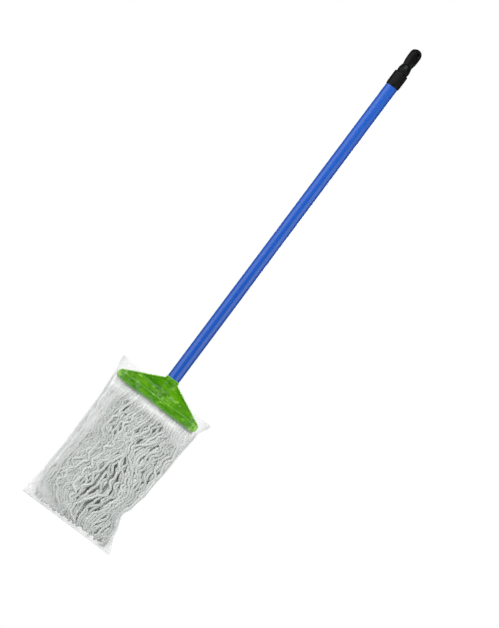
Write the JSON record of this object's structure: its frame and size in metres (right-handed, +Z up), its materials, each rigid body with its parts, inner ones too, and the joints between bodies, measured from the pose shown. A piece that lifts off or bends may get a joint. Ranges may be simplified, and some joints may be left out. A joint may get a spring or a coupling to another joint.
{
  "type": "string mop",
  "caption": "Cotton string mop with a two-jaw wing-nut clip, a straight round handle with a swivel hang loop, and a clear slip-off bag over the yarn.",
  "frame": {"origin": "centre of the hang hole in the swivel loop at the top of the handle", "axes": "+Z up along the handle as it hangs, +X to the right across the clip seen from the front, -Y out of the clip's front"},
  "size_m": [0.2354, 0.0579, 1.2182],
  "materials": {
    "black_plastic": "satin",
    "zinc_steel": "satin",
    "blue_skin": "gloss",
    "green_plastic": "gloss",
    "cotton_tape": "matte",
    "thread": "matte",
    "cotton_yarn": "matte",
    "clear_film": "gloss"
  },
  "bodies": {
    "hanger": {"hang_loop": "black_plastic", "swivel_retainer": "zinc_steel"},
    "handle": {"cap_sleeve": "black_plastic", "steel_tube": "zinc_steel", "tube_skin": "blue_skin", "tube_plug": "black_plastic", "handle_screw": "zinc_steel", "front_jaw": "green_plastic", "hinge_pins": "zinc_steel", "clamp_bolt": "zinc_steel", "band_tape_front": "cotton_tape", "band_tape_back": "cotton_tape", "band_stitches": "thread", "yarn_core": "cotton_yarn", "yarn_front": "cotton_yarn", "yarn_back": "cotton_yarn"},
    "rear_jaw": {"rear_jaw": "green_plastic"},
    "clamp_washer": {"clamp_washer": "zinc_steel"},
    "wing_nut": {"wing_nut": "zinc_steel"},
    "bag": {"clear_bag": "clear_film"}
  },
  "joints": [
    {"name": "loop_swivel", "type": "hinge", "parent": "hanger", "child": "handle", "pos_m": [0, 0, -0.036], "axis": [0, 0, 1], "continuous": true},
    {"name": "jaw_hinge", "type": "hinge", "parent": "handle", "child": "rear_jaw", "pos_m": [0, 0.009, -0.865], "axis": [1, 0, 0], "range_deg": [0, 14.4]},
    {"name": "washer_slide", "type": "slide", "parent": "handle", "child": "clamp_washer", "axis": [0, 1, 0], "range_m": [0, 0.008]},
    {"name": "wing_nut_spin", "type": "hinge", "parent": "clamp_washer", "child": "wing_nut", "pos_m": [0, 0.018, -0.883], "axis": [0, 1, 0], "range_deg": [0, 2880]},
    {"name": "bag_slide", "type": "slide", "parent": "handle", "child": "bag", "axis": [0, 0, -1], "range_m": [0, 0.35]}
  ],
  "couplings": [
    {"joint": "washer_slide", "follows": "wing_nut_spin", "m_per_rad": 0.00015915},
    {"joint": "jaw_hinge", "follows": "wing_nut_spin", "ratio": 0.005}
  ]
}
